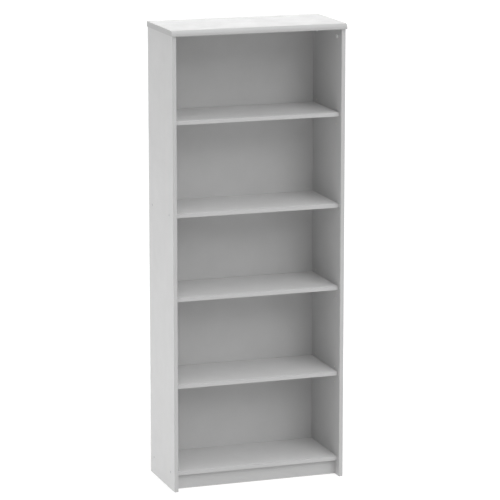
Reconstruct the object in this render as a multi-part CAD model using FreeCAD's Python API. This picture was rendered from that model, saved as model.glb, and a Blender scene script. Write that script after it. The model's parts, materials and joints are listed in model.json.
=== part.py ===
import FreeCAD, Part
import math
import os

# Bookcase with adjustable shelves, flat-pack construction in melamine-faced chipboard.
# Millimetres. X runs across the width (left side at -X), Y from the open front to the
# back, Z up. The origin is on the floor at the middle of the bookcase's overall box.

V = FreeCAD.Vector
LEFT, RIGHT = -1, 1
CUT_MARGIN = 1.0             # how far a cutting shape runs past the face it opens
THREAD_PROFILE = ((0.30, 0.0), (0.50, 1.0), (0.58, 1.0), (0.75, 0.0))  # (share of pitch, share of height)

# ---- boards ----
CARCASS_WIDTH = 712.0        # over the two side panels
SIDE_DEPTH = 322.0           # side panel with its front edge band
OVERALL_HEIGHT = 1842.0
BOARD = 16.0                 # sides, shelves and plinth
TOP_BOARD = 22.0
BACK_BOARD = 3.0             # hardboard nailed on the rear edges of the sides and top
BAND = 1.0                   # plastic edge band
BAND_ROUNDING = 0.8
TOP_SIDE_OVERHANG = 3.5
TOP_FRONT_OVERHANG = 9.0
TOP_FRONT_RADIUS = 16.0      # post-formed upper front edge
TOP_LOWER_RADIUS = 1.5
TOP_END_ROUNDING = 0.5
SHELF_SETBACK = 22.0         # shelf fronts behind the side fronts
PLINTH_SETBACK = 44.0
PLINTH_LIFT = 1.0            # keeps the weight on the side panels
BACK_SIDE_MARGIN = 2.0
BACK_LOWER_EDGE = 4.0
BACK_OVER_TOP = 10.0         # how far the back panel covers the top's rear edge
LOOSE_SHELF_SIDE_GAP = 1.0
LOOSE_SHELF_REAR_GAP = 2.0

# ---- heights of the shelves' upper faces ----
UPPER_SHELF_TOP = 1487.0
FIXED_SHELF_TOP = 1120.0
MIDDLE_SHELF_TOP = 784.5
LOWER_SHELF_TOP = 432.5
BOTTOM_SHELF_TOP = 78.0

# ---- shelf pins and their holes, on a 32 mm pitch ----
PITCH = 32.0
PIN_HOLE_RADIUS = 2.5
PIN_HOLE_DEPTH = 9.5
PIN_HOLE_MOUTH = 0.5         # countersink round each pin hole
PIN_RADIUS = 2.46
PIN_LENGTH = 16.0
PIN_INSERTED = 9.0
PIN_CHAMFER = 0.5
PIN_GROOVE_DEPTH = 0.25
PIN_GROOVE_HALF_WIDTH = 0.4
PIN_GROOVES = (2.5, 5.0)     # places of the grip grooves, from the pin's inner end
PIN_FRONT_DISTANCE = 57.0    # hole line behind the side's front edge
LINE_SPACING = 7 * PITCH     # front line to rear line, for holes, screws and cams

# ---- screws, dowels, cam fittings ----
SCREW_FRONT_DISTANCE = 54.0
SCREW_LENGTH = 50.0
SCREW_HEAD_RADIUS = 4.95
SCREW_HEAD_HEIGHT = 4.0
SCREW_SHANK_RADIUS = 3.4
SCREW_SHANK_LENGTH = 15.0
SCREW_CORE_RADIUS = 2.5
SCREW_BORE_RADIUS = 3.5
SCREW_SINK_RADIUS = 5.0
SCREW_SOCKET_FLATS = 4.0
SCREW_SOCKET_DEPTH = 3.0
SCREW_RECESS = 0.2           # head below the panel's outer face
SCREW_THREAD_PITCH = 3.0
SCREW_THREAD_START = 15.5
SCREW_POINT_LENGTH = 3.0
SCREW_POINT_RADIUS = 1.0
DOWEL_RADIUS = 3.95
DOWEL_BORE_RADIUS = 4.0
DOWEL_LENGTH = 30.0
DOWEL_CHAMFER = 0.8
DOWEL_FLUTES = 10
DOWEL_FLUTE_DEPTH = 0.35
DOWEL_FLUTE_WIDTH = 0.7
DOWEL_IN_SIDE = 10.0         # where a shelf or the plinth meets a side panel
DOWEL_IN_TOP = 12.0
DOWEL_END_GAP = 1.0
CAM_FRONT_DISTANCE = 51.0
CAM_DROP = 34.0              # cam centre below the top panel
CAM_RADIUS = 7.4
CAM_DEPTH = 12.5
CAM_POCKET_RADIUS = 7.5
CAM_FACE = 3.8               # thickness of the driven end
CAM_END_GAP = 0.1
CAM_FLOOR = 1.0
CAM_CAVITY_RADIUS = 5.4
CAM_SLOT_WIDTH = 5.2
CAM_DRIVE_LENGTH = 8.0
CAM_DRIVE_WIDTH = 1.4
CAM_DRIVE_DEPTH = 2.2
BOLT_BORE_RADIUS = 4.0
BOLT_IN_TOP = 11.5
BOLT_THREAD_RADIUS = 3.0
BOLT_CORE_RADIUS = 2.4
BOLT_THREAD_PITCH = 2.0
BOLT_POINT_LENGTH = 0.8
BOLT_POINT_RADIUS = 2.0
BOLT_COLLAR_CHAMFER = 0.2
BOLT_SHANK_RADIUS = 3.5
BOLT_SHANK_END = 9.0         # these three are distances above the cam's centre
BOLT_NECK_TOP = 8.0
BOLT_NECK_END = 4.0
BOLT_NECK_RADIUS = 2.2
BOLT_HEAD_RADIUS = 3.4
BOLT_HEAD_BELOW_CAM = 1.5
BOLT_HEAD_SLOPE = 1.5
CAP_RADIUS = 8.75
CAP_HEIGHT = 3.5
CAP_RIM_RADIUS = 0.5
CAP_RIM_STEPS = 4
CAP_STEM_RADIUS = 0.6
CAP_STEM_LENGTH = 1.8

# ---- plinth brackets ----
BRACKET_LEG = 30.0
BRACKET_WIDTH = 16.0
BRACKET_SHEET = 2.0
BRACKET_BEND = 2.5
BRACKET_PLACES = (-190.0, 190.0)
BRACKET_HOLES = (12.0, 23.0)  # from the corner, along each leg
BRACKET_HOLE_RADIUS = 2.0
WOOD_SCREW_RADIUS = 1.75
WOOD_SCREW_CORE = 1.2
WOOD_SCREW_LENGTH = 12.0
WOOD_SCREW_PITCH = 1.4
WOOD_SCREW_THREAD_START = 0.5
WOOD_SCREW_POINT_LENGTH = 2.0
WOOD_SCREW_HEAD_RADIUS = 3.4
WOOD_SCREW_HEAD_HEIGHT = 1.9
WOOD_SCREW_HEAD_OUTLINE = ((1.9, 2.0), (1.33, 3.1), (0.2, 3.4))  # (height above the sheet, radius)
WOOD_SCREW_CROSS_REACH = 2.2
WOOD_SCREW_CROSS_WIDTH = 0.7
WOOD_SCREW_CROSS_DEPTH = 0.8

# ---- back panel nails ----
NAIL_RADIUS = 0.7
NAIL_LENGTH = 22.0
NAIL_HEAD_RADIUS = 1.8
NAIL_HEAD_HEIGHT = 0.4
NAIL_HEAD_TAPER = 0.1
NAIL_POINT_LENGTH = 1.5
NAIL_SINK_RADIUS = 2.0
NAIL_SINK_DEPTH = 0.5         # hammered in a little below the hardboard's face
NAILS_UP_EACH_SIDE = 13
NAILS_ALONG_EACH_BOARD = 5
NAIL_END_MARGIN = 45.0

# ---- places worked out from the sizes above ----
CARCASS_TOP = OVERALL_HEIGHT - TOP_BOARD
OVERALL_DEPTH = TOP_FRONT_OVERHANG + SIDE_DEPTH + BACK_BOARD
TOP_HALF_WIDTH = CARCASS_WIDTH / 2 + TOP_SIDE_OVERHANG
TOP_FRONT = -OVERALL_DEPTH / 2
SIDE_FRONT = TOP_FRONT + TOP_FRONT_OVERHANG
SIDE_REAR = SIDE_FRONT + SIDE_DEPTH
BACK_REAR = SIDE_REAR + BACK_BOARD
OUTER_FACE = CARCASS_WIDTH / 2
INNER_FACE = OUTER_FACE - BOARD
SHELF_FRONT = SIDE_FRONT + SHELF_SETBACK
PLINTH_FRONT = SIDE_FRONT + PLINTH_SETBACK
PLINTH_REAR = PLINTH_FRONT + BOARD
PLINTH_TOP = BOTTOM_SHELF_TOP - BOARD
PIN_LINES = (SIDE_FRONT + PIN_FRONT_DISTANCE, SIDE_FRONT + PIN_FRONT_DISTANCE + LINE_SPACING)
SCREW_LINES = (SIDE_FRONT + SCREW_FRONT_DISTANCE, SIDE_FRONT + SCREW_FRONT_DISTANCE + LINE_SPACING)
CAM_LINES = (SIDE_FRONT + CAM_FRONT_DISTANCE, SIDE_FRONT + CAM_FRONT_DISTANCE + LINE_SPACING)
SHELF_DOWEL_LINES = (SCREW_LINES[0] + PITCH, SCREW_LINES[1] - PITCH)
TOP_DOWEL_LINES = (CAM_LINES[0] + 2 * PITCH, CAM_LINES[1] - 2 * PITCH)
PLINTH_MIDDLE = PLINTH_FRONT + BOARD / 2
PLINTH_DOWEL_HEIGHTS = (18.0, 45.0)
CAM_HEIGHT = CARCASS_TOP - CAM_DROP
SIDE_MIDDLE = OUTER_FACE - BOARD / 2
LOOSE_SHELVES = (("upper_shelf", UPPER_SHELF_TOP),
                 ("middle_shelf", MIDDLE_SHELF_TOP),
                 ("lower_shelf", LOWER_SHELF_TOP))
SCREWED_SHELF_TOPS = (FIXED_SHELF_TOP, BOTTOM_SHELF_TOP)


# ---- shape helpers ----

def box(low, high):
    size = high.sub(low)
    return Part.makeBox(size.x, size.y, size.z, low)


def rod(radius, start, direction, length):
    return Part.makeCylinder(radius, length, start, direction)


def carve(solid, tools):
    """The solid with every tool cut away, as one clean solid."""
    return solid.cut(tools).Solids[0]


def aimed(shape, place, direction):
    """Moves a shape made along +Z so that it starts at place and points along direction."""
    turn = FreeCAD.Rotation(V(0, 0, 1), direction)
    shape.Placement = FreeCAD.Placement(place, turn)
    return shape


def turned(outline, place, direction):
    """A turned piece: outline is a list of (distance along the axis, radius)."""
    points = [V(0, 0, outline[0][0])]
    points += [V(radius, 0, along) for along, radius in outline]
    points.append(V(0, 0, outline[-1][0]))
    if outline[0][1] == 0:
        points = points[1:]
    if outline[-1][1] == 0:
        points = points[:-1]
    face = Part.Face(Part.makePolygon(points + [points[0]]))
    solid = face.revolve(V(0, 0, 0), V(0, 0, 1), 360)
    if solid.Volume < 0:
        solid.reverse()
    return aimed(solid, place, direction)


def thread(start, end, core, crest, pitch):
    """Outline points of a row of sharp ridges between start and end."""
    points = [(start, core)]
    turns = int((end - start) / pitch)
    for turn in range(turns):
        for share, height in THREAD_PROFILE:
            points.append((start + (turn + share) * pitch, core + (crest - core) * height))
    points.append((end, core))
    return points


def rounded(shape, radius, chosen):
    """Fillets the edges whose both ends satisfy chosen(point)."""
    edges = [e for e in shape.Edges if all(chosen(v.Point) for v in e.Vertexes)]
    return shape.makeFillet(radius, edges)


def hexagon_prism(across_flats, depth, place, direction):
    corner = across_flats / math.sqrt(3)
    points = [V(corner * math.cos(math.radians(60 * k)), corner * math.sin(math.radians(60 * k)), 0)
              for k in range(7)]
    prism = Part.Face(Part.makePolygon(points)).extrude(V(0, 0, depth))
    return aimed(prism, place, direction)


def near(a, b):
    return abs(a - b) < 1e-6


# ---- boards and edge bands ----

def pin_height(shelf_top):
    """The pin carries the shelf on its upper side, so its axis is one hole radius lower."""
    return shelf_top - BOARD - PIN_HOLE_RADIUS


def side_panel(side):
    """One upright, drilled on its inner face, its top edge and, for the screws, right through."""
    low = V(min(side * INNER_FACE, side * OUTER_FACE), SIDE_FRONT + BAND, 0)
    board = box(low, V(low.x + BOARD, SIDE_REAR, CARCASS_TOP))
    outward = V(side, 0, 0)
    inward = V(-side, 0, 0)
    cuts = []
    for _, shelf_top in LOOSE_SHELVES:
        for line in PIN_LINES:
            for step in (-1, 0, 1):
                place = V(side * INNER_FACE, line, pin_height(shelf_top) + step * PITCH)
                cuts.append(rod(PIN_HOLE_RADIUS, place, outward, PIN_HOLE_DEPTH))
                mouth = [(0, PIN_HOLE_RADIUS + PIN_HOLE_MOUTH), (PIN_HOLE_MOUTH, PIN_HOLE_RADIUS)]
                cuts.append(turned(mouth, place, outward))
    for shelf_top in SCREWED_SHELF_TOPS:
        middle = shelf_top - BOARD / 2
        for line in SCREW_LINES:
            place = V(side * OUTER_FACE, line, middle)
            cuts.append(rod(SCREW_BORE_RADIUS, place, inward, BOARD))
            sink = [(0, SCREW_SINK_RADIUS), (SCREW_RECESS, SCREW_SINK_RADIUS),
                    (SCREW_RECESS + SCREW_HEAD_HEIGHT, SCREW_BORE_RADIUS)]
            cuts.append(turned(sink, place, inward))
        for line in SHELF_DOWEL_LINES:
            place = V(side * INNER_FACE, line, middle)
            cuts.append(rod(DOWEL_BORE_RADIUS, place, outward, DOWEL_IN_SIDE + DOWEL_END_GAP))
    for height in PLINTH_DOWEL_HEIGHTS:
        place = V(side * INNER_FACE, PLINTH_MIDDLE, height)
        cuts.append(rod(DOWEL_BORE_RADIUS, place, outward, DOWEL_IN_SIDE + DOWEL_END_GAP))
    for line in CAM_LINES:
        cuts.append(rod(CAM_POCKET_RADIUS, V(side * INNER_FACE, line, CAM_HEIGHT), outward, CAM_DEPTH))
        cuts.append(rod(BOLT_BORE_RADIUS, V(side * SIDE_MIDDLE, line, CARCASS_TOP), V(0, 0, -1), CAM_DROP))
    for line in TOP_DOWEL_LINES:
        depth = DOWEL_LENGTH - DOWEL_IN_TOP + DOWEL_END_GAP
        cuts.append(rod(DOWEL_BORE_RADIUS, V(side * SIDE_MIDDLE, line, CARCASS_TOP), V(0, 0, -1), depth))
    return carve(board, cuts)


def side_front_band(side):
    low = V(min(side * INNER_FACE, side * OUTER_FACE), SIDE_FRONT, 0)
    band = box(low, V(low.x + BOARD, SIDE_FRONT + BAND, CARCASS_TOP))
    edges = [e for e in band.Edges
             if all(near(v.Y, SIDE_FRONT) for v in e.Vertexes) and near(e.Vertexes[0].X, e.Vertexes[1].X)]
    return band.makeFillet(BAND_ROUNDING, edges)


def top_section(at_x):
    """The top's outline seen from the end: rounded upper front edge, nearly square lower one."""
    low, high = CARCASS_TOP, OVERALL_HEIGHT
    big, small = TOP_FRONT_RADIUS, TOP_LOWER_RADIUS
    slant = math.sqrt(0.5)

    def at(y, z):
        return V(at_x, y, z)

    edges = [
        Part.makeLine(at(SIDE_REAR, low), at(SIDE_REAR, high)),
        Part.makeLine(at(SIDE_REAR, high), at(TOP_FRONT + big, high)),
        Part.Arc(at(TOP_FRONT + big, high),
                 at(TOP_FRONT + big * (1 - slant), high - big * (1 - slant)),
                 at(TOP_FRONT, high - big)).toShape(),
        Part.makeLine(at(TOP_FRONT, high - big), at(TOP_FRONT, low + small)),
        Part.Arc(at(TOP_FRONT, low + small),
                 at(TOP_FRONT + small * (1 - slant), low + small * (1 - slant)),
                 at(TOP_FRONT + small, low)).toShape(),
        Part.makeLine(at(TOP_FRONT + small, low), at(SIDE_REAR, low)),
    ]
    return Part.Face(Part.Wire(edges))


def top_panel():
    half = TOP_HALF_WIDTH - BAND
    board = top_section(-half).extrude(V(2 * half, 0, 0))
    cuts = []
    for side in (LEFT, RIGHT):
        for line in CAM_LINES:
            place = V(side * SIDE_MIDDLE, line, CARCASS_TOP)
            cuts.append(rod(BOLT_THREAD_RADIUS, place, V(0, 0, 1), BOLT_IN_TOP + DOWEL_END_GAP))
        for line in TOP_DOWEL_LINES:
            place = V(side * SIDE_MIDDLE, line, CARCASS_TOP)
            cuts.append(rod(DOWEL_BORE_RADIUS, place, V(0, 0, 1), DOWEL_IN_TOP + DOWEL_END_GAP))
    return carve(board, cuts)


def top_end_band(side):
    half = TOP_HALF_WIDTH
    band = top_section(side * (half - BAND)).extrude(V(side * BAND, 0, 0))
    return rounded(band, TOP_END_ROUNDING, lambda p: near(p.x, side * half))


def shelf_board(shelf_top, half_width, rear):
    return box(V(-half_width, SHELF_FRONT + BAND, shelf_top - BOARD), V(half_width, rear, shelf_top))


def shelf_front_band(shelf_top, half_width):
    low = V(-half_width, SHELF_FRONT, shelf_top - BOARD)
    band = box(low, V(half_width, SHELF_FRONT + BAND, shelf_top))
    edges = [e for e in band.Edges
             if all(near(v.Y, SHELF_FRONT) for v in e.Vertexes) and near(e.Vertexes[0].Z, e.Vertexes[1].Z)]
    return band.makeFillet(BAND_ROUNDING, edges)


def screwed_shelf_board(shelf_top):
    """A shelf that holds the sides together: bored at both ends for screws and dowels."""
    board = shelf_board(shelf_top, INNER_FACE, SIDE_REAR)
    middle = shelf_top - BOARD / 2
    cuts = []
    for side in (LEFT, RIGHT):
        inward = V(-side, 0, 0)
        for line in SCREW_LINES:
            depth = SCREW_LENGTH - BOARD + DOWEL_END_GAP
            cuts.append(rod(SCREW_BORE_RADIUS, V(side * INNER_FACE, line, middle), inward, depth))
        for line in SHELF_DOWEL_LINES:
            depth = DOWEL_LENGTH - DOWEL_IN_SIDE + DOWEL_END_GAP
            cuts.append(rod(DOWEL_BORE_RADIUS, V(side * INNER_FACE, line, middle), inward, depth))
    return carve(board, cuts)


def plinth_board():
    board = box(V(-INNER_FACE, PLINTH_FRONT, PLINTH_LIFT), V(INNER_FACE, PLINTH_REAR, PLINTH_TOP))
    cuts = []
    for side in (LEFT, RIGHT):
        for height in PLINTH_DOWEL_HEIGHTS:
            depth = DOWEL_LENGTH - DOWEL_IN_SIDE + DOWEL_END_GAP
            place = V(side * INNER_FACE, PLINTH_MIDDLE, height)
            cuts.append(rod(DOWEL_BORE_RADIUS, place, V(-side, 0, 0), depth))
    return carve(board, cuts)


def evenly(low, high, count):
    return [low + (high - low) * step / (count - 1) for step in range(count)]


def nail_places():
    """(x, z) of each nail: up both side panels, and along the top and the screwed shelves."""
    places = []
    upper = CARCASS_TOP + BACK_OVER_TOP / 2
    for side in (LEFT, RIGHT):
        for height in evenly(NAIL_END_MARGIN, CARCASS_TOP - NAIL_END_MARGIN, NAILS_UP_EACH_SIDE):
            places.append((side * SIDE_MIDDLE, height))
    reach = INNER_FACE - NAIL_END_MARGIN
    for height in (upper, FIXED_SHELF_TOP - BOARD / 2, BOTTOM_SHELF_TOP - BOARD / 2):
        for at_x in evenly(-reach, reach, NAILS_ALONG_EACH_BOARD):
            places.append((at_x, height))
    return places


def back_panel():
    half = OUTER_FACE - BACK_SIDE_MARGIN
    sheet = box(V(-half, SIDE_REAR, BACK_LOWER_EDGE), V(half, BACK_REAR, CARCASS_TOP + BACK_OVER_TOP))
    return carve(sheet, [rod(NAIL_SINK_RADIUS, V(at_x, BACK_REAR, at_z), V(0, -1, 0), NAIL_SINK_DEPTH)
                         for at_x, at_z in nail_places()])


# ---- fittings ----

def shelf_pin(side, line, shelf_top):
    """A plain steel pin with chamfered ends and two grip grooves in its inserted half."""
    inner_end = V(side * (INNER_FACE + PIN_INSERTED), line, pin_height(shelf_top))
    outline = [(0, PIN_RADIUS - PIN_CHAMFER), (PIN_CHAMFER, PIN_RADIUS)]
    for groove in PIN_GROOVES:
        outline.append((groove - PIN_GROOVE_HALF_WIDTH, PIN_RADIUS))
        outline.append((groove, PIN_RADIUS - PIN_GROOVE_DEPTH))
        outline.append((groove + PIN_GROOVE_HALF_WIDTH, PIN_RADIUS))
    outline.append((PIN_LENGTH - PIN_CHAMFER, PIN_RADIUS))
    outline.append((PIN_LENGTH, PIN_RADIUS - PIN_CHAMFER))
    return turned(outline, inner_end, V(-side, 0, 0))


def dowel(place, direction):
    """A fluted beech dowel that starts at place and runs along direction."""
    outline = [(0, DOWEL_RADIUS - DOWEL_CHAMFER), (DOWEL_CHAMFER, DOWEL_RADIUS),
               (DOWEL_LENGTH - DOWEL_CHAMFER, DOWEL_RADIUS), (DOWEL_LENGTH, DOWEL_RADIUS - DOWEL_CHAMFER)]
    plain = turned(outline, V(0, 0, 0), V(0, 0, 1))
    flutes = []
    for count in range(DOWEL_FLUTES):
        flute = box(V(DOWEL_RADIUS - DOWEL_FLUTE_DEPTH, -DOWEL_FLUTE_WIDTH / 2, 0),
                    V(DOWEL_RADIUS + CUT_MARGIN, DOWEL_FLUTE_WIDTH / 2, DOWEL_LENGTH))
        flute.rotate(V(0, 0, 0), V(0, 0, 1), 360 * count / DOWEL_FLUTES)
        flutes.append(flute)
    return aimed(carve(plain, flutes), place, direction)


def assembly_screw(side, line, shelf_top):
    """A coarse countersunk screw with a hexagon socket, through the side into a shelf's end."""
    outer = V(side * (OUTER_FACE - SCREW_RECESS), line, shelf_top - BOARD / 2)
    inward = V(-side, 0, 0)
    outline = [(0, SCREW_HEAD_RADIUS), (SCREW_HEAD_HEIGHT, SCREW_SHANK_RADIUS),
               (SCREW_SHANK_LENGTH, SCREW_SHANK_RADIUS)]
    outline += thread(SCREW_THREAD_START, SCREW_LENGTH - SCREW_POINT_LENGTH, SCREW_CORE_RADIUS,
                      SCREW_SHANK_RADIUS, SCREW_THREAD_PITCH)
    outline.append((SCREW_LENGTH - SCREW_RECESS, SCREW_POINT_RADIUS))
    screw = turned(outline, outer, inward)
    return carve(screw, [hexagon_prism(SCREW_SOCKET_FLATS, SCREW_SOCKET_DEPTH, outer, inward)])


def cam_bolt(side, line):
    """Screwed into the top panel; its head hangs down into the cam."""
    outline = [(-BOLT_IN_TOP, BOLT_POINT_RADIUS)]
    outline += thread(BOLT_POINT_LENGTH - BOLT_IN_TOP, 0, BOLT_CORE_RADIUS, BOLT_THREAD_RADIUS,
                      BOLT_THREAD_PITCH)
    head_end = CAM_DROP + BOLT_HEAD_BELOW_CAM
    outline += [(BOLT_COLLAR_CHAMFER, BOLT_SHANK_RADIUS),
                (CAM_DROP - BOLT_SHANK_END, BOLT_SHANK_RADIUS),
                (CAM_DROP - BOLT_NECK_TOP, BOLT_NECK_RADIUS),
                (CAM_DROP - BOLT_NECK_END, BOLT_NECK_RADIUS),
                (CAM_DROP - BOLT_NECK_END + BOLT_HEAD_SLOPE, BOLT_HEAD_RADIUS),
                (head_end, BOLT_HEAD_RADIUS),
                (head_end + BOLT_HEAD_SLOPE, BOLT_NECK_RADIUS)]
    return turned(outline, V(side * SIDE_MIDDLE, line, CARCASS_TOP), V(0, 0, -1))


def cam_lock(side, line):
    """A turned cam: driven face, hollow for the bolt's head, slot for the bolt's neck."""
    centre = V(side * INNER_FACE, line, CAM_HEIGHT)
    outward = V(side, 0, 0)
    body = rod(CAM_RADIUS, centre, outward, CAM_DEPTH - CAM_END_GAP)
    deep = V(side * (INNER_FACE + CAM_FACE), line, CAM_HEIGHT)
    cavity = rod(CAM_CAVITY_RADIUS, deep, outward, CAM_DEPTH - CAM_FACE - CAM_FLOOR)
    ends = sorted((deep.x, side * (INNER_FACE + CAM_DEPTH)))
    slot = box(V(ends[0], line - CAM_SLOT_WIDTH / 2, CAM_HEIGHT),
               V(ends[1], line + CAM_SLOT_WIDTH / 2, CAM_HEIGHT + CAM_RADIUS + CUT_MARGIN))
    ends = sorted((centre.x, side * (INNER_FACE + CAM_DRIVE_DEPTH)))
    drives = []
    for along, across in ((CAM_DRIVE_LENGTH, CAM_DRIVE_WIDTH), (CAM_DRIVE_WIDTH, CAM_DRIVE_LENGTH)):
        drives.append(box(V(ends[0], line - along / 2, CAM_HEIGHT - across / 2),
                          V(ends[1], line + along / 2, CAM_HEIGHT + across / 2)))
    return carve(body, [cavity, slot] + drives)


def cam_cover_cap(side, line):
    """A round cap with a softened rim that clips into the cam's drive recess."""
    outline = [(-CAP_STEM_LENGTH, CAP_STEM_RADIUS), (0, CAP_STEM_RADIUS), (0, CAP_RADIUS)]
    for step in range(CAP_RIM_STEPS + 1):
        angle = math.radians(90 * step / CAP_RIM_STEPS)
        outline.append((CAP_HEIGHT - CAP_RIM_RADIUS * (1 - math.sin(angle)),
                        CAP_RADIUS - CAP_RIM_RADIUS * (1 - math.cos(angle))))
    return turned(outline, V(side * INNER_FACE, line, CAM_HEIGHT), V(-side, 0, 0))


def bracket(at_x):
    """An angle of steel sheet behind the plinth, against the bottom shelf's underside."""
    leg, sheet = BRACKET_LEG, BRACKET_SHEET
    left = at_x - BRACKET_WIDTH / 2
    right = at_x + BRACKET_WIDTH / 2
    upright = box(V(left, PLINTH_REAR, PLINTH_TOP - leg), V(right, PLINTH_REAR + sheet, PLINTH_TOP))
    level = box(V(left, PLINTH_REAR, PLINTH_TOP - sheet), V(right, PLINTH_REAR + leg, PLINTH_TOP))
    angle = upright.fuse(level).removeSplitter()
    inner = V(0, PLINTH_REAR + sheet, PLINTH_TOP - sheet)
    angle = rounded(angle, BRACKET_BEND, lambda p: near(p.y, inner.y) and near(p.z, inner.z))
    holes = []
    for distance in BRACKET_HOLES:
        in_upright = V(at_x, PLINTH_REAR, PLINTH_TOP - distance)
        in_level = V(at_x, PLINTH_REAR + distance, PLINTH_TOP)
        holes.append(rod(BRACKET_HOLE_RADIUS, in_upright, V(0, 1, 0), sheet))
        holes.append(rod(BRACKET_HOLE_RADIUS, in_level, V(0, 0, -1), sheet))
    return carve(angle, holes)


def wood_screw(head_place, direction):
    """A small pan-head screw; head_place is under the head, direction runs to the tip."""
    outline = [(-height, radius) for height, radius in WOOD_SCREW_HEAD_OUTLINE]
    outline += [(0, WOOD_SCREW_HEAD_RADIUS), (0, WOOD_SCREW_RADIUS)]
    outline += thread(WOOD_SCREW_THREAD_START, WOOD_SCREW_LENGTH - WOOD_SCREW_POINT_LENGTH, WOOD_SCREW_CORE,
                      WOOD_SCREW_RADIUS, WOOD_SCREW_PITCH)
    outline.append((WOOD_SCREW_LENGTH, 0))
    screw = turned(outline, V(0, 0, 0), V(0, 0, 1))
    reach, half = WOOD_SCREW_CROSS_REACH, WOOD_SCREW_CROSS_WIDTH / 2
    slots = []
    for turn in (0, 90):
        slot = box(V(-reach, -half, -WOOD_SCREW_HEAD_HEIGHT),
                   V(reach, half, WOOD_SCREW_CROSS_DEPTH - WOOD_SCREW_HEAD_HEIGHT))
        slot.rotate(V(0, 0, 0), V(0, 0, 1), turn)
        slots.append(slot)
    return aimed(carve(screw, slots), head_place, direction)


def nail(at_x, at_z):
    """A flat-headed nail whose head sits on the floor of its sink in the back panel."""
    outline = [(-NAIL_HEAD_HEIGHT, NAIL_HEAD_RADIUS - NAIL_HEAD_TAPER), (0, NAIL_HEAD_RADIUS),
               (0, NAIL_RADIUS), (NAIL_LENGTH - NAIL_POINT_LENGTH, NAIL_RADIUS), (NAIL_LENGTH, 0)]
    return turned(outline, V(at_x, BACK_REAR - NAIL_SINK_DEPTH, at_z), V(0, -1, 0))


# ---- groups of identical fasteners ----

def both_sides(make, lines, *others):
    return Part.Compound([make(side, line, *others) for side in (LEFT, RIGHT) for line in lines])


def shelf_dowels(shelf_top):
    return Part.Compound([
        dowel(V(side * (INNER_FACE + DOWEL_IN_SIDE), line, shelf_top - BOARD / 2), V(-side, 0, 0))
        for side in (LEFT, RIGHT) for line in SHELF_DOWEL_LINES])


def plinth_dowels():
    return Part.Compound([
        dowel(V(side * (INNER_FACE + DOWEL_IN_SIDE), PLINTH_MIDDLE, height), V(-side, 0, 0))
        for side in (LEFT, RIGHT) for height in PLINTH_DOWEL_HEIGHTS])


def top_panel_dowels():
    return Part.Compound([
        dowel(V(side * SIDE_MIDDLE, line, CARCASS_TOP + DOWEL_IN_TOP), V(0, 0, -1))
        for side in (LEFT, RIGHT) for line in TOP_DOWEL_LINES])


def plinth_bracket_screws():
    screws = []
    for at_x in BRACKET_PLACES:
        for distance in BRACKET_HOLES:
            upright = V(at_x, PLINTH_REAR + BRACKET_SHEET, PLINTH_TOP - distance)
            level = V(at_x, PLINTH_REAR + distance, PLINTH_TOP - BRACKET_SHEET)
            screws.append(wood_screw(upright, V(0, -1, 0)))
            screws.append(wood_screw(level, V(0, 0, 1)))
    return Part.Compound(screws)


def back_panel_nails():
    return Part.Compound([nail(at_x, at_z) for at_x, at_z in nail_places()])


# ---- the whole bookcase ----

def carcass_nodes():
    return {
        "left_side_panel": side_panel(LEFT),
        "right_side_panel": side_panel(RIGHT),
        "left_side_front_band": side_front_band(LEFT),
        "right_side_front_band": side_front_band(RIGHT),
        "top_panel": top_panel(),
        "top_left_end_band": top_end_band(LEFT),
        "top_right_end_band": top_end_band(RIGHT),
        "fixed_shelf_board": screwed_shelf_board(FIXED_SHELF_TOP),
        "fixed_shelf_front_band": shelf_front_band(FIXED_SHELF_TOP, INNER_FACE),
        "bottom_shelf_board": screwed_shelf_board(BOTTOM_SHELF_TOP),
        "bottom_shelf_front_band": shelf_front_band(BOTTOM_SHELF_TOP, INNER_FACE),
        "plinth_board": plinth_board(),
        "back_panel": back_panel(),
    }


def fastener_nodes():
    return {
        "cam_locks": both_sides(cam_lock, CAM_LINES),
        "cam_bolts": both_sides(cam_bolt, CAM_LINES),
        "cam_cover_caps": both_sides(cam_cover_cap, CAM_LINES),
        "top_panel_dowels": top_panel_dowels(),
        "fixed_shelf_screws": both_sides(assembly_screw, SCREW_LINES, FIXED_SHELF_TOP),
        "fixed_shelf_dowels": shelf_dowels(FIXED_SHELF_TOP),
        "bottom_shelf_screws": both_sides(assembly_screw, SCREW_LINES, BOTTOM_SHELF_TOP),
        "bottom_shelf_dowels": shelf_dowels(BOTTOM_SHELF_TOP),
        "plinth_dowels": plinth_dowels(),
        "plinth_brackets": Part.Compound([bracket(at_x) for at_x in BRACKET_PLACES]),
        "plinth_bracket_screws": plinth_bracket_screws(),
        "back_panel_nails": back_panel_nails(),
    }


def loose_shelf_nodes():
    half = INNER_FACE - LOOSE_SHELF_SIDE_GAP
    nodes = {}
    for name, shelf_top in LOOSE_SHELVES:
        nodes[name + "_board"] = shelf_board(shelf_top, half, SIDE_REAR - LOOSE_SHELF_REAR_GAP)
        nodes[name + "_front_band"] = shelf_front_band(shelf_top, half)
        for line_name, line in zip(("front", "rear"), PIN_LINES):
            for side_name, side in (("left", LEFT), ("right", RIGHT)):
                nodes["%s_pin_%s_%s" % (name, line_name, side_name)] = shelf_pin(side, line, shelf_top)
    return nodes


def main():
    os.makedirs("parts", exist_ok=True)
    nodes = {}
    nodes.update(carcass_nodes())
    nodes.update(fastener_nodes())
    nodes.update(loose_shelf_nodes())
    for name, shape in nodes.items():
        shape.exportStep("parts/%s.step" % name)
        print("%-32s %2d solids, %10.1f mm3, valid %s"
              % (name, len(shape.Solids), shape.Volume, shape.isValid()))


main()
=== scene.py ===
import json
import math

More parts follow.
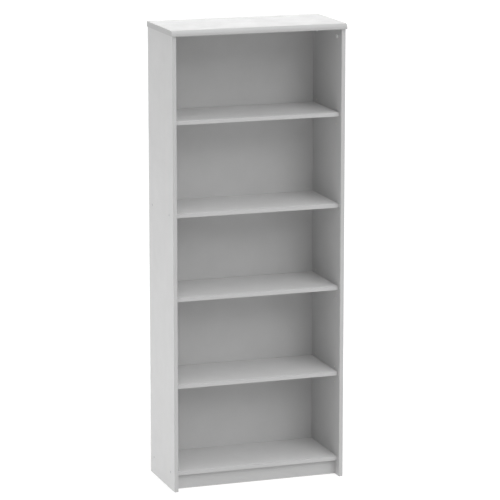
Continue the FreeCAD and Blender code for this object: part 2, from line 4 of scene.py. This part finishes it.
import bpy
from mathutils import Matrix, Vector


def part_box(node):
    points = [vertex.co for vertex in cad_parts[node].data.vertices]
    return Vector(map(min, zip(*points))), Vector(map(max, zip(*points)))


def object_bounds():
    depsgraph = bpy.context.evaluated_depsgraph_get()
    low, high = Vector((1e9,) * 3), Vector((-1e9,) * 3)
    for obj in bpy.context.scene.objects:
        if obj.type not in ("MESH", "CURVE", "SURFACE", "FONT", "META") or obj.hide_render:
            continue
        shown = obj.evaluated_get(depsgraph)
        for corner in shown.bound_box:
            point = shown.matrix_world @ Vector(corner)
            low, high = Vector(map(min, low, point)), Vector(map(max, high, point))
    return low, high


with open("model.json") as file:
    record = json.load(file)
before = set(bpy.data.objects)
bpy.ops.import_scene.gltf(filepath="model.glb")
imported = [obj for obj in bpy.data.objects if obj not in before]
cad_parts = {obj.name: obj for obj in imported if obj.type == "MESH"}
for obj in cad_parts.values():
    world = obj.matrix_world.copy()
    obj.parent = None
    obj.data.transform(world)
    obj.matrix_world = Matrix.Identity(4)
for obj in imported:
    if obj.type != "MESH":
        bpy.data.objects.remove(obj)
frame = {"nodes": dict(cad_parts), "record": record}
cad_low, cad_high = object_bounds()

# Looks for the flat-pack bookcase. Metres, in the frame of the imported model: X across the
# width, Y from the open front to the back, Z up. Every board, band and fitting is its CAD
# node; this script gives each one its material, and adds the floor, the lights and the camera.

MM = 0.001
NODES = frame["nodes"]

# ---- camera ----
VIEW_AZIMUTH = 18.92         # degrees to the left of straight on
VIEW_ELEVATION = 11.88       # degrees above the horizon
VIEW_DISTANCE = 11.219
VIEW_LENS = 202.2
VIEW_REACH = 200.0           # nothing farther off is drawn
SENSOR = 36.0
AIM_RIGHT = 0.014            # aim point off the middle of the bookcase
AIM_UP = 0.0062

# ---- light ----
WORLD_LEVEL = 0.02
# name: degrees from straight on towards the right, degrees above the horizon, degrees across
# (the wider, the softer its shadows), level
SUNS = {
    "key_above_front": (0, 60, 80, 2.11),
    "fill_front": (5, 38, 40, 0.78),
    "fill_right": (30, 28, 40, 0.26),
    "fill_left": (-90, 28, 40, 0.08),
    "rim_behind": (161, 15, 40, 0.95),
    "rim_behind_soft": (161, 15, 90, 0.87),
}
# name: place, size in metres, power in watts, the point it faces
PANELS = {
    "panel_overhead": ((0, 0.5, 6.5), 4.0, 124.0, (0, 0, 0.9)),
    "panel_front": ((1.0, -5.0, 2.6), 3.0, 22.0, (0, 0, 0.9)),
    "panel_low_left": ((-3.0, 0.2, 0.25), 1.0, 34.0, (0, 0, 0.2)),
}

# ---- floor ----
FLOOR_HALF = 60.0
FLOOR_COLOUR = (0.38, 0.38, 0.38)
FLOOR_GLOW = 0.69            # the pale floor is lit from below, as on a light table
FLOOR_ROUGHNESS = 0.9

# ---- colours, linear ----
# the side, shelf and plinth tones are one melamine; their differences are painted light and shade,
# set to how lit each board looks, and the plinth's darker tone is painted shade under the bottom
# shelf
SIDE_MELAMINE_PAINTED_LIGHT_TONE = (0.513, 0.513, 0.513)
SHELF_MELAMINE_PAINTED_LIGHT_TONE = (0.537, 0.537, 0.537)
PLINTH_MELAMINE_PAINTED_SHADE = (0.379, 0.379, 0.379)
LAMINATE = (0.358, 0.358, 0.358)
BAND = (0.389, 0.389, 0.389)
TOP_END_BAND = (0.395, 0.395, 0.395)
FOIL = (0.461, 0.461, 0.461)
CAP = (0.70, 0.70, 0.70)
TORN_PAPER = (0.90, 0.89, 0.87)
# chipboard flake tones: the core's own tan, lightened as painted light so the shelf-pin holes read
# as lit spots
CHIP_DARK_WITH_PAINTED_LIGHT = (0.70, 0.64, 0.54)
CHIP_LIGHT_WITH_PAINTED_LIGHT = (0.86, 0.81, 0.72)
CHIP_GAP = (0.36, 0.29, 0.21)
FIBRE_DARK = (0.17, 0.095, 0.05)
FIBRE_LIGHT = (0.33, 0.205, 0.12)
BEECH_DARK = (0.47, 0.31, 0.17)
BEECH_LIGHT = (0.64, 0.47, 0.29)
BEECH_RAY = (0.30, 0.17, 0.09)
ZINC_PLATING = (0.40, 0.41, 0.43)
CAST_ZINC = (0.50, 0.51, 0.52)
NICKEL_PLATING = (0.72, 0.70, 0.66)
NAIL_STEEL = (0.42, 0.42, 0.43)

# ---- surfaces ----
NOISE_SPAN = (0.3, 0.7)      # most of a noise lies between these
FACE_REACH = 0.05 * MM       # how near to a plane still counts as on it
PAPER_LINE = 0.55 * MM       # depth of the torn facing paper along a cut
FLAKE = 2.6 * MM
GAP_STRENGTH = 0.6           # how much of the gap's colour shows between flakes
CORE_ROUGHNESS = 0.9
PEARL_ROUGHNESS = 0.08       # what the pearl embossing adds to the paper's roughness
FOIL_ROUGHNESS = 0.48
DRAG_STRETCH = 0.02          # drag lines are that much finer across than along
SCREEN_PITCH = 1.6 * MM      # the wire screen's marks on the back of hardboard
FIBRE_HEIGHT = 1.5           # height of the fibres next to that of the screen's marks
RAY_STRENGTH = 0.5
GLOSS_DOWN = 0.07            # how far a metal's roughness varies around its own
GLOSS_UP = 0.1


# ---- node helpers ----

class Shader:
    """A material's node tree, with short calls for the nodes that repeat."""

    def __init__(self, name):
        self.material = bpy.data.materials.new(name)
        self.material.use_nodes = True
        self.tree = self.material.node_tree
        self.tree.nodes.clear()
        self.output = self.add("ShaderNodeOutputMaterial")
        self.surface = self.add("ShaderNodeBsdfPrincipled")
        self.link(self.surface.outputs["BSDF"], self.output.inputs["Surface"])
        self.place = self.add("ShaderNodeTexCoord").outputs["Object"]

    def add(self, kind, **settings):
        node = self.tree.nodes.new(kind)
        for key, value in settings.items():
            setattr(node, key, value)
        return node

    def link(self, source, target):
        self.tree.links.new(source, target)

    def feed(self, socket, value):
        """Puts a number, a colour or another node's output into a socket."""
        if isinstance(value, bpy.types.NodeSocket):
            self.link(value, socket)
        elif hasattr(value, "__len__") and len(value) == 3 and socket.type == "RGBA":
            socket.default_value = (*value, 1.0)
        else:
            socket.default_value = value

    def math(self, operation, first, second=0.0, third=None):
        node = self.add("ShaderNodeMath", operation=operation)
        self.feed(node.inputs[0], first)
        self.feed(node.inputs[1], second)
        if third is not None:
            self.feed(node.inputs[2], third)
        return node.outputs[0]

    def scaled_place(self, scale):
        """The object's own coordinates, multiplied by scale along each axis."""
        node = self.add("ShaderNodeMapping")
        self.link(self.place, node.inputs["Vector"])
        node.inputs["Scale"].default_value = scale
        return node.outputs["Vector"]

    def noise(self, size, detail=3.0, roughness=0.5, stretch=(1, 1, 1), distortion=0.0):
        """Noise from 0 to 1 whose features are about size metres across."""
        node = self.add("ShaderNodeTexNoise")
        self.link(self.scaled_place(stretch), node.inputs["Vector"])
        node.inputs["Scale"].default_value = 1.0 / size
        node.inputs["Detail"].default_value = detail
        node.inputs["Roughness"].default_value = roughness
        node.inputs["Distortion"].default_value = distortion
        return node.outputs["Fac"]

    def cells(self, size, feature="F1", output="Distance"):
        """Irregular cells about size metres across."""
        node = self.add("ShaderNodeTexVoronoi", feature=feature)
        self.link(self.scaled_place((1, 1, 1)), node.inputs["Vector"])
        node.inputs["Scale"].default_value = 1.0 / size
        return node.outputs[output]

    def vary(self, value, low, high, span=NOISE_SPAN):
        """Turns the values across span into low to high, and holds the ends."""
        node = self.add("ShaderNodeMapRange", clamp=True)
        self.feed(node.inputs["Value"], value)
        node.inputs["From Min"].default_value = span[0]
        node.inputs["From Max"].default_value = span[1]
        node.inputs["To Min"].default_value = low
        node.inputs["To Max"].default_value = high
        return node.outputs["Result"]

    def blend(self, kind, factor, first, second):
        """First where the factor is 0, second where it is 1; kind is RGBA, FLOAT or VECTOR."""
        node = self.add("ShaderNodeMix", data_type=kind, clamp_factor=True)
        self.feed(node.inputs["Factor"], factor)
        self.feed(node.inputs["A"], first)
        self.feed(node.inputs["B"], second)
        return node.outputs["Result"]

    def mix(self, factor, first, second):
        return self.blend("RGBA", factor, first, second)

    def shade(self, colour, amount):
        """The colour times a number that varies around 1."""
        node = self.add("ShaderNodeMix", data_type="RGBA", blend_type="MULTIPLY")
        node.inputs["Factor"].default_value = 1.0
        self.feed(node.inputs["A"], colour)
        grey = self.add("ShaderNodeCombineColor")
        for channel in ("Red", "Green", "Blue"):
            self.feed(grey.inputs[channel], amount)
        self.link(grey.outputs["Color"], node.inputs["B"])
        return node.outputs["Result"]

    def bump(self, height, depth, strength, after=None):
        """A bump of the given depth in metres, on top of the one in after."""
        node = self.add("ShaderNodeBump")
        node.inputs["Strength"].default_value = strength
        node.inputs["Distance"].default_value = depth
        self.feed(node.inputs["Height"], height)
        if after is not None:
            self.link(after, node.inputs["Normal"])
        return node.outputs["Normal"]

    def axis(self, letter):
        node = self.add("ShaderNodeSeparateXYZ")
        self.link(self.place, node.inputs[0])
        return node.outputs[letter]

    def on_planes(self, letter, levels, reach=FACE_REACH):
        """1 within reach of a plane at one of the levels along an axis, 0 elsewhere."""
        along = self.axis(letter)
        found = 0.0
        for level in levels:
            gap = self.math("ABSOLUTE", self.math("SUBTRACT", along, level))
            found = self.math("MAXIMUM", found, self.math("LESS_THAN", gap, reach))
        return found

    def finish(self, colour, roughness, normal=None, metallic=0.0, specular=0.5):
        self.feed(self.surface.inputs["Base Color"], colour)
        self.feed(self.surface.inputs["Roughness"], roughness)
        self.surface.inputs["Metallic"].default_value = metallic
        self.surface.inputs["Specular IOR Level"].default_value = specular
        if normal is not None:
            self.link(normal, self.surface.inputs["Normal"])
        return self.material


# ---- materials ----

def chipboard(shader):
    """Colour and height of a sawn chipboard edge: pressed flakes, dark gaps, fine dust; the flakes
    are the core's own tan lightened with painted light, so the shelf-pin holes read as lit spots.
    """
    flake = shader.add("ShaderNodeSeparateColor")
    shader.link(shader.cells(FLAKE, output="Color"), flake.inputs[0])
    light = shader.mix(flake.outputs["Red"], CHIP_DARK_WITH_PAINTED_LIGHT, CHIP_LIGHT_WITH_PAINTED_LIGHT)
    edge_distance = shader.cells(FLAKE, feature="DISTANCE_TO_EDGE")
    gaps = shader.vary(edge_distance, low=1.0, high=0.0, span=(0.0, 0.09))
    colour = shader.mix(shader.math("MULTIPLY", gaps, GAP_STRENGTH), light, CHIP_GAP)
    dust = shader.vary(shader.noise(0.5 * MM, detail=4.0), low=0.86, high=1.1)
    height = shader.math("SUBTRACT", shader.noise(0.9 * MM, detail=4.0), gaps)
    return shader.shade(colour, dust), height


def board_surface(shader, face_colour, face, torn_paper=0.0):
    """Pearl-embossed paper where face is 1, raw core elsewhere, white where torn_paper is 1."""
    cloud = shader.vary(shader.noise(180 * MM, detail=2.0), low=0.985, high=1.015)
    fleck = shader.vary(shader.noise(0.8 * MM, detail=2.0), low=0.97, high=1.03, span=(0.35, 0.65))
    paper = shader.shade(shader.shade(face_colour, cloud), fleck)
    core, core_height = chipboard(shader)
    core = shader.mix(torn_paper, core, TORN_PAPER)
    colour = shader.mix(face, core, paper)
    pearl = shader.noise(0.55 * MM, detail=2.0, roughness=0.4)
    rubbed = shader.noise(60 * MM, detail=4.0, roughness=0.6)
    rubbed = shader.vary(rubbed, low=0.40, high=0.50, span=(0.35, 0.7))
    paper_roughness = shader.math("MULTIPLY_ADD", pearl, PEARL_ROUGHNESS, rubbed)
    roughness = shader.blend("FLOAT", face, CORE_ROUGHNESS, paper_roughness)
    embossed = shader.bump(pearl, depth=0.03 * MM, strength=0.35)
    sawn = shader.bump(core_height, depth=0.3 * MM, strength=0.8)
    normal = shader.blend("VECTOR", face, sawn, embossed)
    return shader.finish(colour, roughness, normal, specular=0.45)


def faced_board(name, face_colour, letter, levels):
    """Melamine-faced chipboard whose two faces are at levels along the axis of that letter.

    Where the core is cut, the torn paper shows as a thin white line next to each face.
    """
    shader = Shader(name)
    face = shader.on_planes(letter, levels)
    torn_paper = shader.on_planes(letter, levels, PAPER_LINE)
    return board_surface(shader, face_colour, face, torn_paper)


def formed_top(name, face_colour, half_width, rear):
    """The top: laminate runs round the front edge; only its ends and its rear edge are raw."""
    shader = Shader(name)
    rear_edge = shader.on_planes("Y", [rear])
    ends = shader.on_planes("X", [-half_width, half_width])
    face = shader.math("SUBTRACT", 1.0, shader.math("MAXIMUM", rear_edge, ends))
    return board_surface(shader, face_colour, face)


def plastic_band(name, colour, along):
    """Extruded edge band: fine lengthwise drag lines and a soft satin sheen."""
    shader = Shader(name)
    stretch = [DRAG_STRETCH if letter == along else 1.0 for letter in "XYZ"]
    drag = shader.noise(0.5 * MM, roughness=0.55, stretch=stretch)
    cloud = shader.vary(shader.noise(120 * MM, detail=2.0), low=0.985, high=1.015)
    tone = shader.shade(shader.shade(colour, cloud), shader.vary(drag, low=0.975, high=1.025))
    lines = shader.bump(drag, depth=0.03 * MM, strength=0.4)
    grain = shader.noise(0.35 * MM, detail=2.0)
    normal = shader.bump(grain, depth=0.02 * MM, strength=0.3, after=lines)
    return shader.finish(tone, shader.vary(drag, low=0.36, high=0.46), normal)


def hardboard(name, inner_level):
    """Hardboard: smooth grey foil on the inner face, brown screen-marked fibre on the outer one."""
    shader = Shader(name)
    foil = shader.on_planes("Y", [inner_level])
    cloud = shader.vary(shader.noise(90 * MM), low=0.98, high=1.02)
    fleck = shader.vary(shader.noise(1.2 * MM), low=0.965, high=1.035)
    inner = shader.shade(shader.shade(FOIL, cloud), fleck)
    fibre = shader.noise(1.6 * MM, detail=5.0, roughness=0.7, stretch=(1, 1, 0.35))
    blotch = shader.noise(70 * MM, detail=4.0, roughness=0.6)
    outer = shader.mix(shader.vary(fibre, low=0.0, high=1.0), FIBRE_DARK, FIBRE_LIGHT)
    outer = shader.shade(outer, shader.vary(blotch, low=0.85, high=1.12))
    colour = shader.mix(foil, outer, inner)
    waves = 2 * math.pi / SCREEN_PITCH
    across = shader.math("SINE", shader.math("MULTIPLY", shader.axis("X"), waves))
    upward = shader.math("SINE", shader.math("MULTIPLY", shader.axis("Z"), waves))
    screen = shader.math("MULTIPLY", across, upward)
    marks = shader.math("MULTIPLY_ADD", fibre, FIBRE_HEIGHT, screen)
    rough_side = shader.bump(marks, depth=0.12 * MM, strength=0.8)
    smooth_side = shader.bump(shader.noise(2.2 * MM), depth=0.02 * MM, strength=0.3)
    normal = shader.blend("VECTOR", foil, rough_side, smooth_side)
    fibre_roughness = shader.vary(fibre, low=0.72, high=0.9)
    roughness = shader.blend("FLOAT", foil, fibre_roughness, FOIL_ROUGHNESS)
    return shader.finish(colour, roughness, normal, specular=0.35)


def metal(name, colour, roughness, scratch, tarnish):
    """Plated or cast metal with fine scratches, a little tarnish and uneven gloss."""
    shader = Shader(name)
    stain = shader.noise(4 * MM, detail=4.0, roughness=0.6)
    stain = shader.vary(stain, low=1.0, high=1.0 - tarnish, span=(0.3, 0.75))
    lines = shader.noise(scratch, detail=4.0, roughness=0.7)
    gloss = shader.vary(lines, low=roughness - GLOSS_DOWN, high=roughness + GLOSS_UP)
    normal = shader.bump(lines, depth=0.02 * MM, strength=0.4)
    return shader.finish(shader.shade(colour, stain), gloss, normal, metallic=1.0)


def moulded_plastic(name, colour):
    """Moulded plastic with a fine spark-eroded grain."""
    shader = Shader(name)
    spark = shader.noise(0.4 * MM)
    cloud = shader.vary(shader.noise(6 * MM, detail=2.0), low=0.97, high=1.03)
    gloss = shader.vary(spark, low=0.40, high=0.52)
    normal = shader.bump(spark, depth=0.03 * MM, strength=0.4)
    return shader.finish(shader.shade(colour, cloud), gloss, normal)


def beech(name):
    """Turned beech: long pale grain with short dark rays."""
    shader = Shader(name)
    grain = shader.noise(1.0 * MM, detail=5.0, roughness=0.6, stretch=(0.15, 1, 1), distortion=0.4)
    rays = shader.noise(0.5 * MM, detail=2.0, stretch=(0.4, 1, 1))
    rays = shader.vary(rays, low=0.0, high=1.0, span=(0.62, 0.7))
    tone = shader.mix(shader.vary(grain, low=0.0, high=1.0), BEECH_DARK, BEECH_LIGHT)
    tone = shader.mix(shader.math("MULTIPLY", rays, RAY_STRENGTH), tone, BEECH_RAY)
    normal = shader.bump(grain, depth=0.08 * MM, strength=0.5)
    return shader.finish(tone, shader.vary(grain, low=0.6, high=0.75), normal)


def floor_material():
    shader = Shader("studio_floor")
    cloud = shader.vary(shader.noise(900 * MM, detail=2.0), low=0.995, high=1.005)
    shader.surface.inputs["Emission Color"].default_value = (1, 1, 1, 1)
    shader.surface.inputs["Emission Strength"].default_value = FLOOR_GLOW
    return shader.finish(shader.shade(FLOOR_COLOUR, cloud), FLOOR_ROUGHNESS, specular=0.1)


# ---- giving the CAD nodes their materials ----

def dress(node, material):
    slots = NODES[node].data.materials
    slots.clear()
    slots.append(material)


def dress_boards():
    # the sides and the shelves take melamine tones with painted light and shade in them
    for node in ("left_side_panel", "right_side_panel"):
        low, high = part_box(node)
        dress(node, faced_board(node + "_melamine", SIDE_MELAMINE_PAINTED_LIGHT_TONE, "X", (low.x, high.x)))
    for node in NODES:
        if node.endswith("_shelf_board"):
            low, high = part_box(node)
            dress(node, faced_board(node + "_melamine", SHELF_MELAMINE_PAINTED_LIGHT_TONE, "Z", (low.z, high.z)))
    # the plinth's darker melamine tone is painted shade
    low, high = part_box("plinth_board")
    dress("plinth_board", faced_board("plinth_melamine_painted_shade", PLINTH_MELAMINE_PAINTED_SHADE, "Y", (low.y, high.y)))
    low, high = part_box("top_panel")
    dress("top_panel", formed_top("top_laminate", LAMINATE, high.x, high.y))
    low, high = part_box("back_panel")
    dress("back_panel", hardboard("back_hardboard", low.y))


def dress_bands():
    upright = plastic_band("band_upright", BAND, "Z")
    level = plastic_band("band_level", BAND, "X")
    ends = plastic_band("band_top_ends", TOP_END_BAND, "Y")
    for node in NODES:
        if node.endswith("_side_front_band"):
            dress(node, upright)
        elif node.endswith("_end_band"):
            dress(node, ends)
        elif node.endswith("_front_band"):
            dress(node, level)


def dress_fittings():
    """Gives every fitting the material of the slot that the record names for it."""
    materials = {
        "zinc_plated_steel": metal("zinc_plating", ZINC_PLATING, 0.38, 0.6 * MM, tarnish=0.12),
        "cam_zinc": metal("cast_zinc", CAST_ZINC, 0.45, 0.5 * MM, tarnish=0.2),
        "pin_nickel": metal("nickel_plating", NICKEL_PLATING, 0.22, 0.5 * MM, tarnish=0.06),
        "nail_steel": metal("nail_steel", NAIL_STEEL, 0.40, 0.4 * MM, tarnish=0.3),
        "cap_plastic": moulded_plastic("cap_plastic", CAP),
        "beech": beech("beech"),
    }
    for part in frame["record"]["subparts"]:
        if part["material_slot"] in materials:
            dress(part["node"], materials[part["material_slot"]])


# ---- surroundings ----

def add_floor():
    mesh = bpy.data.meshes.new("floor")
    signs = [(-1, -1), (1, -1), (1, 1), (-1, 1)]
    mesh.from_pydata([(x * FLOOR_HALF, y * FLOOR_HALF, 0) for x, y in signs], [], [(0, 1, 2, 3)])
    floor = bpy.data.objects.new("floor", mesh)
    bpy.context.scene.collection.objects.link(floor)
    mesh.materials.append(floor_material())


def direction(turn, height):
    """Points turn degrees to the right of straight on and height degrees above the horizon."""
    around = math.radians(turn)
    up = math.radians(height)
    return Vector((math.sin(around) * math.cos(up), -math.cos(around) * math.cos(up), math.sin(up)))


def add_aimed(name, data, aim):
    """Adds an object that holds data, with its -Z axis along aim."""
    added = bpy.data.objects.new(name, data)
    added.rotation_euler = aim.to_track_quat("-Z", "Y").to_euler()
    bpy.context.scene.collection.objects.link(added)
    return added


def add_world():
    world = bpy.data.worlds.new("studio")
    bpy.context.scene.world = world
    world.use_nodes = True
    background = world.node_tree.nodes["Background"]
    background.inputs["Color"].default_value = (1, 1, 1, 1)
    background.inputs["Strength"].default_value = WORLD_LEVEL


def add_lights():
    for name, (turn, height, width, level) in SUNS.items():
        sun = bpy.data.lights.new(name, "SUN")
        sun.angle = math.radians(width)
        sun.energy = level
        add_aimed(name, sun, -direction(turn, height))
    for name, (place, size, power, target) in PANELS.items():
        panel = bpy.data.lights.new(name, "AREA")
        panel.shape = "DISK"
        panel.size = size
        panel.energy = power
        lamp = add_aimed(name, panel, Vector(target) - Vector(place))
        lamp.location = place


def add_camera():
    data = bpy.data.cameras.new("camera")
    data.lens = VIEW_LENS
    data.sensor_width = SENSOR
    data.clip_end = VIEW_REACH
    target = (cad_low + cad_high) / 2 + Vector((AIM_RIGHT, 0, AIM_UP))
    towards = direction(-VIEW_AZIMUTH, VIEW_ELEVATION)
    camera = add_aimed("camera", data, -towards)
    camera.location = target + towards * VIEW_DISTANCE
    bpy.context.scene.camera = camera


dress_boards()
dress_bands()
dress_fittings()
add_floor()
add_world()
add_lights()
add_camera()
bpy.context.scene.view_settings.view_transform = "Standard"
